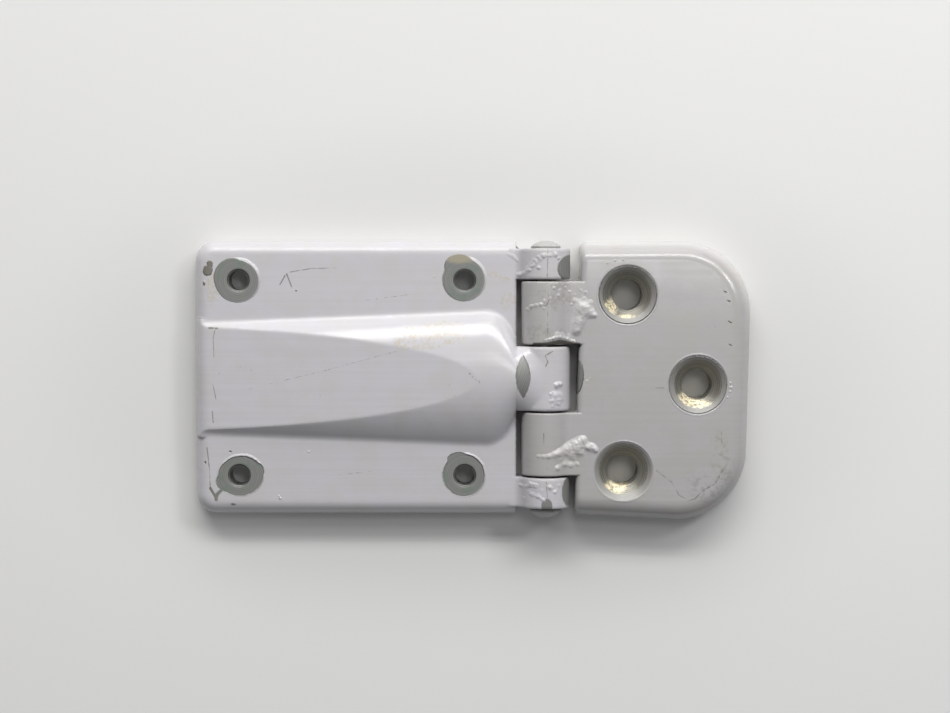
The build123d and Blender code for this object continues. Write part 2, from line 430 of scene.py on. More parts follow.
def readSurface(tree, look, marks):
    # the values that several layers of a leaf's material share
    position = markPosition(tree)
    axes = addNode(tree, "ShaderNodeSeparateXYZ", None, {0: position}).outputs
    reliefLinks = {"Position": position, "Swell": marks["swell"], "Peel": marks["peel"]}
    relief = useGroup(tree, reliefGroup, reliefLinks)
    return {
        "position": position,
        "x": axes["X"],
        "y": axes["Y"],
        "z": axes["Z"],
        "relief": relief["Height"],
        "speckle": relief["Speckle"],
        "cloud": rangeNode(tree, relief["Cloud"], *look["cloudSpan"]),
        "streak": rangeNode(tree, relief["Streak"], *look["cloudSpan"]),
        "strokes": strokeMasks(tree, position, marks["scratches"]),
        "front": rangeNode(tree, axes["Z"], *look["frontSpan"]),
    }


def paintColour(tree, surface, look, marks):
    # paint with its scuffs, stains, dirt and painted crevice shade, strokes, and cracks with a painted
    # shadow, all under a painted shade of the whole leaf
    position = surface["position"]
    warmth = mathNode(tree, "MULTIPLY_ADD", surface["cloud"], look["warmShare"], marks["warmth"])
    colour = mixColour(tree, warmth, look["paint"], look["paintWarm"])
    # painted shade over the whole leaf, spared on its upper rounded edge as a painted highlight
    edge = rangeNode(tree, surface["z"], *look["edgeSpan"], 1.0, 0.0)
    litEdge = mathNode(tree, "MULTIPLY", edge, rangeNode(tree, surface["y"], *look["upperSpan"]))
    shaded = mathNode(tree, "MULTIPLY", marks["paintedShade"], mathNode(tree, "SUBTRACT", 1.0, litEdge))
    colour = mixColour(tree, shaded, colour, look["black"])
    colour = layColour(tree, colour, surface["streak"], look["streakShare"], look["streak"])
    if "scuffs" in marks:
        grain = patchyMask(tree, position, look["scuffGrain"], look["scuffSpan"])
        scuffed = patchMasks(tree, position, marks["scuffs"], look["scuffRim"])
        scuffed = mathNode(tree, "MULTIPLY", grain, scuffed)
        colour = layColour(tree, colour, scuffed, look["scuffShare"], look["scuff"])
    if "stains" in marks:
        grain = patchyMask(tree, position, look["stainGrain"], look["stainSpan"])
        stained = mathNode(tree, "MULTIPLY", patchMasks(tree, position, marks["stains"]), grain)
        colour = layColour(tree, colour, stained, look["stainShare"], look["stain"])
    # dirt and painted shade where faces meet closely
    dirtShadeLinks = {"Position": position, "Reach": look["dirtShadeReach"], "Amount": marks["dirtShadeAmount"]}
    dirtAndShade = useGroup(tree, creviceShadeGroup, dirtShadeLinks)["Mask"]
    dirtAndShade = mathNode(tree, "MULTIPLY", dirtAndShade, rangeNode(tree, surface["z"], *look["dirtShadeSpan"]))
    colour = mixColour(tree, dirtAndShade, colour, look["dirtAndShade"])
    colour = layColour(tree, colour, surface["speckle"], look["speckleShare"], look["dark"])
    colour = layColour(tree, colour, surface["strokes"], look["strokeShare"], look["dark"])
    # near-black cracks: torn paint, darkened as the painted shadow below the notch flake
    if "cracksAndShadow" in marks:
        cracksAndShadow = strokeMasks(tree, position, marks["cracksAndShadow"])
        colour = layColour(tree, colour, cracksAndShadow, look["crackShadowShare"], look["crackShadow"])
    return colour


def bareMask(tree, surface, marks):
    # places where the paint is gone, on the front only
    position = surface["position"]
    lenses = lensMasks(tree, position, marks["lenses"])
    bare = addMask(tree, patchMasks(tree, position, marks["bare"]), lenses)
    if "peeled" in marks:
        bare = addMask(tree, bare, strokeMasks(tree, position, marks["peeled"]))
    return mathNode(tree, "MULTIPLY", bare, surface["front"])


def turnedMarks(tree, position, look, centres):
    # shade and height of the rings, each hole's own round it and the first hole's elsewhere
    shade = None
    height = None
    for centre in centres:
        ringLinks = {"Position": position, "Centre": (*centre, 0), "Pitch": look["ringPitch"]}
        ring = useGroup(tree, turnedGroup, ringLinks)
        if shade is None:
            shade = ring["Shade"]
            height = ring["Height"]
            continue
        nearLinks = {
            "Position": position,
            "Centre": (*centre, 0),
            "Half Size": (look["ringReach"], look["ringReach"], 1),
            "Raggedness": 0.0,
        }
        near = useGroup(tree, patchGroup, nearLinks)["Mask"]
        shade = mixValue(tree, near, shade, ring["Shade"])
        height = mixValue(tree, near, height, ring["Height"])
    return shade, height


def bareColour(tree, surface, shade, look, marks):
    # bare metal with rests of primer, dirty in the chips, tan where old sealant is left
    position = surface["position"]
    metal = mixColour(tree, shade, look["bareDark"], look["bareLight"])
    primer = patchyMask(tree, position, look["primerGrain"], look["primerSpan"])
    plate = rangeNode(tree, surface["x"], *look["primerSide"], 1.0, 0.0)
    primer = mathNode(tree, "MULTIPLY", primer, plate)
    metal = layColour(tree, metal, primer, marks["primerShare"], look["primer"])
    if "chipSide" in marks:
        chips = rangeNode(tree, surface["x"], *marks["chipSide"], 1.0, 0.0)
        metal = layColour(tree, metal, chips, look["chipShare"], look["chip"])
    if "tans" in marks:
        tans = patchMasks(tree, position, marks["tans"], look["tanRim"])
        metal = layColour(tree, metal, tans, look["tanShare"], look["tan"])
    return metal


def coneColour(tree, surface, shade, look, marks):
    # machined cones and bores: their colour, with painted brass-tinted highlights on their lower sides, and
    # how metallic they are
    cone = mixColour(tree, shade, marks["coneDark"], marks["coneLight"])
    if "glintPatches" not in marks:
        return cone, marks["coneMetal"]
    position = surface["position"]
    # painted highlights: brass-tinted glints where the cones' lower sides catch the key light
    grain = patchyMask(tree, position, look["glintGrain"], look["glintSpan"])
    glints = patchMasks(tree, position, marks["glintPatches"], look["glintRim"])
    glints = mathNode(tree, "MULTIPLY", glints, grain)
    cone = mixColour(tree, glints, cone, look["glintTint"])
    inner = patchMasks(tree, position, marks["coneInner"])
    cone = mixColour(tree, inner, marks["coneRim"], cone)
    metal = mathNode(tree, "MULTIPLY_ADD", glints, look["glintMetal"], marks["coneMetal"])
    return cone, mixValue(tree, inner, look["rimMetal"], metal)


def paintHeight(tree, surface, bare, machined, turned, look, marks):
    # relief of the crowned leaf, with a lip where the paint dried against a rivet or screw head
    height = mathNode(tree, "MULTIPLY", surface["relief"], look["reliefHeight"])
    beside = mathNode(tree, "SUBTRACT", surface["y"], marks["crownMiddle"])
    square = mathNode(tree, "MULTIPLY", beside, beside)
    crown = mathNode(tree, "MULTIPLY_ADD", square, marks["roll"], marks["crown"])
    height = mathNode(tree, "SUBTRACT", height, mathNode(tree, "MULTIPLY", square, crown))
    lip = patchMasks(tree, surface["position"], marks["lips"], look["lipRim"])
    height = mathNode(tree, "MULTIPLY_ADD", lip, marks["lipHeight"], height)
    rings = mixValue(tree, machined, look["bareRings"], marks["coneRings"])
    worn = mathNode(tree, "MULTIPLY", turned, rings)
    worn = mathNode(tree, "SUBTRACT", worn, mathNode(tree, "MULTIPLY", machined, marks["rimDrop"]))
    gone = mathNode(tree, "MAXIMUM", bare, machined)
    return mixValue(tree, gone, mathNode(tree, "ADD", height, look["paintThickness"]), worn)


def wornPaint(name, look, marks):
    # white paint over cast aluminium, with this leaf's own chips, rings and strokes
    material, tree, shader = newMaterial(name)
    surface = readSurface(tree, look, marks)
    position = surface["position"]
    colour = paintColour(tree, surface, look, marks)
    bare = bareMask(tree, surface, marks)
    shade, turned = turnedMarks(tree, position, look, marks["turned"])
    colour = mixColour(tree, bare, colour, bareColour(tree, surface, shade, look, marks))
    machined = patchMasks(tree, position, marks["machined"], marks["machinedRim"])
    machined = mathNode(tree, "MULTIPLY", machined, surface["front"])
    cone, coneMetal = coneColour(tree, surface, shade, look, marks)
    colour = mixColour(tree, machined, colour, cone)

    height = paintHeight(tree, surface, bare, machined, turned, look, marks)
    bevelLinks = {"Radius": marks["edgeRound"] * mm}
    rounded = addNode(tree, "ShaderNodeBevel", {"samples": 5}, bevelLinks).outputs[0]
    bumpLinks = {"Strength": 1.0, "Distance": mm, "Height": height, "Normal": rounded}
    bump = addNode(tree, "ShaderNodeBump", None, bumpLinks)

    polish = mathNode(tree, "MULTIPLY_ADD", surface["cloud"], look["cloudRoughness"], look["roughness"])
    polish = mathNode(tree, "MULTIPLY_ADD", surface["streak"], look["streakRoughness"], polish)
    polish = mathNode(tree, "MULTIPLY_ADD", surface["strokes"], look["strokeRoughness"], polish)
    polish = mixValue(tree, bare, polish, look["bareRoughness"])
    polish = mixValue(tree, machined, polish, look["machinedRoughness"])
    metallic = mathNode(tree, "MULTIPLY", bare, look["bareMetal"])
    metallic = mixValue(tree, machined, metallic, coneMetal)
    tree.links.new(colour, shader.inputs["Base Color"])
    tree.links.new(polish, shader.inputs["Roughness"])
    tree.links.new(metallic, shader.inputs["Metallic"])
    tree.links.new(bump.outputs[0], shader.inputs["Normal"])
    return material


# Fixed leaf
fixedHoles = [(-18.35, 15.875), (18.35, 15.875), (-18.35, -15.875), (18.35, -15.875)]
fixedLook = {
    "swell": 1.2,
    "peel": 0.12,
    "crown": 0.0007,
    "roll": 0.0,
    "crownMiddle": -6.0,
    "edgeRound": 0.8,
    "warmth": 0.0,
    "paintedShade": 0.0,
    "dirtShadeAmount": 0.8,
    "primerShare": 0.4,
    "coneDark": (0.16, 0.16, 0.15, 1),
    "coneLight": (0.4, 0.4, 0.38, 1),
    "coneMetal": 0.7,
    "coneRings": 0.02,
    "machinedRim": 0.11,
    "rimDrop": 0.16,
    "lipHeight": 0.17,
    "chipSide": (-22.4, -22.2),
    "turned": fixedHoles,
    "machined": [(hole, (1.8, 1.8), 0, 0.0) for hole in fixedHoles],
    "bare": [
        # rings round the rivet holes, then the lobes where more paint came off
        ((-18.55, 15.8), (3.5, 3.4), 0, 0.03), ((18.2, 16.0), (3.4, 3.45), 0, 0.03),
        ((-18.15, -16.0), (3.65, 3.25), -12, 0.05), ((18.15, -15.9), (3.4, 3.45), 0, 0.04),
        ((-19.5, 16.5), (2.75, 3.05), 20, 0.04), ((17.6, 18.0), (2.5, 2.1), 10, 0.08),
        ((17.4, -13.4), (1.9, 1.3), 0, 0.1), ((-20.6, -17.0), (1.6, 1.5), 30, 0.12),
        ((-15.9, -15.2), (1.6, 1.5), 0, 0.1),
        # chips along the free end
        ((-23.3, 17.5), (0.75, 0.85), 20, 0.3),
        ((-22.95, 18.5), (0.45, 0.6), 0, 0.35), ((-23.9, 15.4), (0.2, 0.3), 0, 0.6),
        ((-22.7, 8.15), (0.5, 0.16), 0, 0.5), ((-21.9, 8.1), (0.3, 0.14), 0, 0.5),
        ((-19.8, -12.0), (0.22, 0.16), 0, 0.4), ((-8.95, 14.25), (0.13, 0.1), 0, 0.4),
        ((-23.9, -13.8), (0.16, 0.2), 0, 0.5), ((-19.4, -20.6), (0.4, 0.16), 0, 0.8),
        # bare ends of the outer knuckles
        ((35.4, 17.9), (2.1, 2.1), 0, 0.05),
        ((35.4, -18.4), (1.3, 2.4), 0, 0.08), ((31.6, -20.6), (0.9, 1.3), 0, 0.25),
    ],
    "lenses": [((27.75, 0.35), 2.3, 7.0)],
    "peeled": [
        ([(-21.3, -18.3), (-22.1, -19.1), (-22.15, -19.8)], 0.4, 0.0),
        ([(-22.2, -19.6), (-23.1, -18.0)], 0.26, 0.2),
    ],
    "lips": [
        ((-18.45, 15.95), (3.62, 3.55), 0, 0.03), ((18.3, 16.15), (3.52, 3.55), 0, 0.03),
        ((-18.1, -15.8), (3.8, 3.4), -12, 0.05), ((18.25, -15.75), (3.52, 3.55), 0, 0.04),
    ],
    "tans": [((17.5, 19.4), (2.4, 0.7), 0, 0.25)],
    "stains": [
        ((13.0, 6.9), (6.4, 2.0), -8, 0.5),
        ((24.0, 16.5), (1.8, 0.6), 15, 0.6), ((25.2, 12.6), (1.3, 1.5), 0, 0.6),
        ((-22.6, 14.2), (0.9, 2.4), 0, 0.5),
    ],
    "scratches": [
        ([(-10.8, 16.6), (-11.6, 15.2)], 0.15, 0.35), ([(-10.5, 16.9), (-9.7, 14.8)], 0.16, 0.3),
        ([(-10.0, 17.2), (-6.5, 17.8), (-2.4, 17.9)], 0.06, 0.6),
        ([(-17.4, -1.9), (-4.0, 1.4), (7.8, 4.6)], 0.05, 0.8),
        ([(-23.6, -11.3), (-23.2, -14.9), (-23.1, -18.0)], 0.08, 0.35),
        ([(-22.0, 8.2), (-22.4, 6.6), (-22.3, 3.4)], 0.08, 0.6),
        ([(-22.5, -1.0), (-22.0, -3.4)], 0.08, 0.5), ([(-22.6, -5.4), (-22.5, -7.2)], 0.09, 0.45),
        ([(32.5, 4.5), (31.3, 3.8), (31.75, 2.8), (31.4, 2.1)], 0.12, 0.3),
        ([(31.7, 21.0), (31.6, 16.4)], 0.1, 0.75), ([(31.5, -16.6), (31.7, -19.0)], 0.1, 0.6),
        ([(19.2, 0.9), (20.6, -0.4)], 0.25, 0.8),
        ([(-4.0, -16.0), (3.0, -15.2)], 0.04, 0.8), ([(2.0, 12.6), (9.5, 13.6)], 0.04, 0.8),
    ],
}

# Door leaf
doorHoles = [onDoor(12.9, 13.85), onDoor(12.9, -14.75), onDoor(24.6, -0.45)]
doorLook = {
    "swell": 1.4,
    "peel": 0.14,
    "crown": 0.0008,
    "roll": 1.2e-7,
    "crownMiddle": -30.0,
    "edgeRound": 0.35,
    "warmth": 0.5,
    "paintedShade": 0.24,
    "dirtShadeAmount": 0.8,
    "primerShare": 0.15,
    "coneDark": (0.2, 0.195, 0.17, 1),
    "coneLight": (0.4, 0.385, 0.34, 1),
    "coneMetal": 0.6,
    "coneRings": 0.05,
    "machinedRim": 0.1,
    "rimDrop": -0.09,
    "lipHeight": 0.05,
    "turned": doorHoles,
    "machined": [(hole, (4.66, 4.66), 0, 0.015) for hole in doorHoles],
    "coneRim": (0.34, 0.335, 0.32, 1),
    "coneInner": [
        (onDoor(12.8, 13.95), (4.0, 3.9), 0, 0.04), (onDoor(12.95, -14.65), (3.95, 3.95), 0, 0.04),
        (onDoor(24.7, -0.35), (3.85, 3.95), 0, 0.04),
    ],
    "lenses": [((36.6, 0.6), 1.95, 6.4)],
    "scuffs": [
        ((60.0, -13.5), (1.6, 4.5), -8, 0.5), ((57.5, -17.8), (3.2, 1.9), 30, 0.5),
        ((33.5, 13.2), (3.2, 2.2), 0, 0.5), ((31.0, 7.2), (3.5, 1.4), 0, 0.5),
    ],
    "lips": [(hole, (5.0, 5.0), 0, 0.02) for hole in doorHoles],
    # painted highlights on the lit lower side of each countersink
    "glintPatches": [
        ((41.5, 11.1), (2.2, 1.2), -50, 0.3),
        ((43.7, 9.6), (2.1, 0.6), -10, 0.3), ((42.7, -17.8), (2.6, 1.2), -25, 0.3),
        ((54.2, -3.5), (2.4, 1.3), -35, 0.3), ((57.0, -4.5), (2.2, 0.9), 15, 0.3),
    ],
    "bare": [
        ((61.2, 9.2), (0.26, 0.08), 30, 0.4), ((61.3, 5.5), (0.26, 0.07), 30, 0.4),
        ((61.0, 12.6), (0.18, 0.08), 20, 0.4), ((60.4, 14.1), (0.2, 0.07), 30, 0.4),
    ],
    "scratches": [
        ([(49.4, -14.9), (51.9, -16.8), (53.1, -18.9), (54.7, -19.8), (55.7, -19.5)], 0.055, 0.45),
        ([(55.7, -19.5), (56.8, -18.3), (59.0, -17.0), (60.4, -14.4)], 0.12, 0.7),
        ([(48.4, -1.5), (50.6, -1.5)], 0.05, 0.3), ([(59.9, -8.6), (60.0, -10.4)], 0.06, 0.5),
        ([(31.8, 14.2), (31.7, 11.0), (31.7, 7.4)], 0.08, 0.72), ([(31.1, -8.8), (31.1, -10.6)], 0.1, 0.3),
        ([(28.6, 11.0), (30.0, 12.0), (31.4, 11.8), (32.2, 13.2)], 0.13, 0.72),
    ],
    # torn paint under the notch flake, partly a painted shadow of the flake
    "cracksAndShadow": [
        ([(29.6, 5.5), (31.5, 5.6), (33.0, 5.85), (33.9, 6.0), (35.2, 5.7), (36.8, 5.4)], 0.55, 0.0),
    ],
}

fixedPaint = wornPaint("fixedLeafPaint", paintLook, fixedLook)
doorPaint = wornPaint("doorLeafPaint", paintLook, doorLook)
print("paint made")


def giveMaterial(node, material):
    node.data.materials.clear()
    node.data.materials.append(material)


giveMaterial(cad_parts["fixed_leaf"], fixedPaint)
giveMaterial(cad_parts["door_leaf"], doorPaint)

# Pin: steel, its heads painted over with the leaves
pinLook = {
    "paint": (0.42, 0.42, 0.41, 1),
    "steel": (0.36, 0.35, 0.33, 1),
    "headSpan": (21.0, 21.1),    # where a head starts, in millimetres from the middle
    "chipGrain": (1.4, 4.0, 0.65),
    "chipSpan": (0.6, 0.65),
    "dirtShadeReach": 0.0012,         # in metres
    "dirtShadeAmount": 0.9,
    "relief": 0.4,
    "reliefHeight": 0.06,
    "paintThickness": 0.08,
    "steelRoughness": 0.32,
    "paintRoughness": 0.4,
    "steelMetal": 0.95,
}


def makePinMaterial(look):
    material, tree, shader = newMaterial("paintedPin")
    position = markPosition(tree)
    beside = addNode(tree, "ShaderNodeSeparateXYZ", None, {0: position}).outputs["Y"]
    head = rangeNode(tree, mathNode(tree, "ABSOLUTE", beside), *look["headSpan"])
    chipped = patchyMask(tree, position, look["chipGrain"], look["chipSpan"])
    painted = mathNode(tree, "MULTIPLY", head, mathNode(tree, "SUBTRACT", 1.0, chipped))
    colour = mixColour(tree, painted, look["steel"], look["paint"])
    # dirt and painted shade where the heads meet the leaves
    dirtShadeLinks = {"Position": position, "Reach": look["dirtShadeReach"], "Amount": look["dirtShadeAmount"]}
    dirtAndShade = useGroup(tree, creviceShadeGroup, dirtShadeLinks)["Mask"]
    colour = mixColour(tree, dirtAndShade, colour, paintLook["dirtAndShade"])
    reliefLinks = {"Position": position, "Swell": look["relief"], "Peel": look["relief"]}
    relief = useGroup(tree, reliefGroup, reliefLinks)["Height"]
    height = mathNode(tree, "MULTIPLY", relief, look["reliefHeight"])
    height = mathNode(tree, "MULTIPLY_ADD", painted, look["paintThickness"], height)
    bumpLinks = {"Strength": 1.0, "Distance": mm, "Height": height}
    bump = addNode(tree, "ShaderNodeBump", None, bumpLinks)
    roughness = mixValue(tree, painted, look["steelRoughness"], look["paintRoughness"])
    tree.links.new(colour, shader.inputs["Base Color"])
    tree.links.new(roughness, shader.inputs["Roughness"])
    tree.links.new(mixValue(tree, painted, look["steelMetal"], 0.0), shader.inputs["Metallic"])
    tree.links.new(bump.outputs[0], shader.inputs["Normal"])
    return material


giveMaterial(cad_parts["hinge_pin"], makePinMaterial(pinLook))
print("pin made")

# Lumps where the paint went on thick and dried rough; sizes in millimetres
lumpLook = {
    "spacing": 0.09,
    "spread": 0.95,
    "margin": 2.2,           # how far the grid reaches round a drop, in its radii
    "cap": 1.0,              # a thick lump levels off towards this height
    "edge": 0.07,            # how far a lump's feathered edge sinks into the leaf
    "kept": 0.8,             # share of that depth down to which the grid is kept
    "fineNoise": 0.5,        # share of the finer waves
    "broadScale": 0.8,       # waves for each millimetre
    "fineScale": 2.1,
    "step": 1.3,             # a fall of the leaf that a lump doesn't run over
    "root": 0.3,
    "above": 0.05,           # a height over both leaves, in metres
}
thickPaintLook = {
    "shadeShare": 0.3,
    "dirtShadeReach": 0.0006,     # in metres
    "dirtShadeAmount": 0.7,
    "fineGrain": (2.6, 3.0),
    "fineHeight": 0.07,
    "bumpStrength": 0.6,
    "roughness": 0.2,
    "cloudRoughness": 0.15,
}


def makeLumpMaterial(name, look, marks):
    material, tree, shader = newMaterial(name)
    position = markPosition(tree)
    cloud = useGroup(tree, reliefGroup, {"Position": position})["Cloud"]
    warmth = rangeNode(tree, cloud, *paintLook["cloudSpan"])
    warmth = mathNode(tree, "MULTIPLY_ADD", warmth, paintLook["warmShare"], marks["warmth"])
    colour = mixColour(tree, warmth, paintLook["paint"], paintLook["paintWarm"])
    # the leaf's painted shade, carried onto its lumps at a smaller share
    shaded = look["shadeShare"] * marks["paintedShade"]
    colour = mixColour(tree, shaded, colour, paintLook["black"])
    # dirt and painted shade in the lump's hollows
    dirtShadeLinks = {"Position": position, "Reach": look["dirtShadeReach"], "Amount": look["dirtShadeAmount"]}
    dirtAndShade = useGroup(tree, creviceShadeGroup, dirtShadeLinks)["Mask"]
    colour = mixColour(tree, dirtAndShade, colour, paintLook["dirtAndShade"])
    fine = noiseNode(tree, position, *look["fineGrain"])
    height = mathNode(tree, "MULTIPLY", fine, look["fineHeight"])
    bumpLinks = {"Strength": look["bumpStrength"], "Distance": mm, "Height": height}
    bump = addNode(tree, "ShaderNodeBump", None, bumpLinks)
    roughness = mathNode(tree, "MULTIPLY_ADD", cloud, look["cloudRoughness"], look["roughness"])
    tree.links.new(colour, shader.inputs["Base Color"])
    tree.links.new(roughness, shader.inputs["Roughness"])
    tree.links.new(bump.outputs[0], shader.inputs["Normal"])
    return material


def surfaceLevel(node, x, y, look):
    # height in millimetres of the highest point of a CAD node over a place
    start = Vector((x * mm, y * mm, look["above"]))
    hit, place = node.ray_cast(start, Vector((0, 0, -1)))[:2]
    return place.z / mm if hit else 0.0


def lumpRise(place, drops, uneven, look):
    # summed drops, made uneven by two sizes of waves
    rise = 0.0
    for x, y, radius, height in drops:
        away = ((place.x - x) ** 2 + (place.y - y) ** 2) / (radius * look["spread"]) ** 2
        rise += height * exp(-away)
    rise = look["cap"] * (1 - exp(-rise / look["cap"]))
    flat = Vector((place.x, place.y, 0))
    broad = noise.noise(flat * look["broadScale"])
    waves = broad + look["fineNoise"] * noise.noise(flat * look["fineScale"])
    return rise * (1 + uneven * waves) - look["edge"]


def makeLump(name, node, uneven, drops, material, look):
    # a fine grid laid on the leaf and raised under the drops, then closed below
    reach = [look["margin"] * drop[2] * look["spread"] for drop in drops]
    lowX = min(drop[0] - r for drop, r in zip(drops, reach))
    highX = max(drop[0] + r for drop, r in zip(drops, reach))
    lowY = min(drop[1] - r for drop, r in zip(drops, reach))
    highY = max(drop[1] + r for drop, r in zip(drops, reach))
    base = min(surfaceLevel(node, drop[0], drop[1], look) for drop in drops)
    shape = Matrix.Translation(((lowX + highX) / 2, (lowY + highY) / 2, 0))
    shape = shape @ Matrix.Diagonal(((highX - lowX) / 2, (highY - lowY) / 2, 1, 1))
    bm = bmesh.new()
    bmesh.ops.create_grid(
        bm,
        x_segments=round((highX - lowX) / look["spacing"]),
        y_segments=round((highY - lowY) / look["spacing"]),
        size=1.0,
        matrix=shape,
    )
    unused = []
    for vert in bm.verts:
        rise = lumpRise(vert.co, drops, uneven, look)
        level = surfaceLevel(node, vert.co.x, vert.co.y, look)
        vert.co.z = level + rise
        if rise < -look["kept"] * look["edge"] or level < base - look["step"]:
            unused.append(vert)
    bmesh.ops.delete(bm, geom=unused, context="VERTS")
    bmesh.ops.delete(bm, geom=[vert for vert in bm.verts if not vert.link_faces], context="VERTS")
    walls = bmesh.ops.extrude_face_region(bm, geom=bm.faces[:])
    lower = [item for item in walls["geom"] if isinstance(item, bmesh.types.BMVert)]
    bmesh.ops.translate(bm, vec=(0, 0, -look["root"]), verts=lower)
    bmesh.ops.scale(bm, vec=(mm, mm, mm), verts=bm.verts)
    bmesh.ops.recalc_face_normals(bm, faces=bm.faces)
    for face in bm.faces:
        face.smooth = True
    mesh = bpy.data.meshes.new(name)
    bm.to_mesh(mesh)
    bm.free()
    mesh.materials.append(material)
    lump = bpy.data.objects.new(name, mesh)
    bpy.context.scene.collection.objects.link(lump)
    return lump


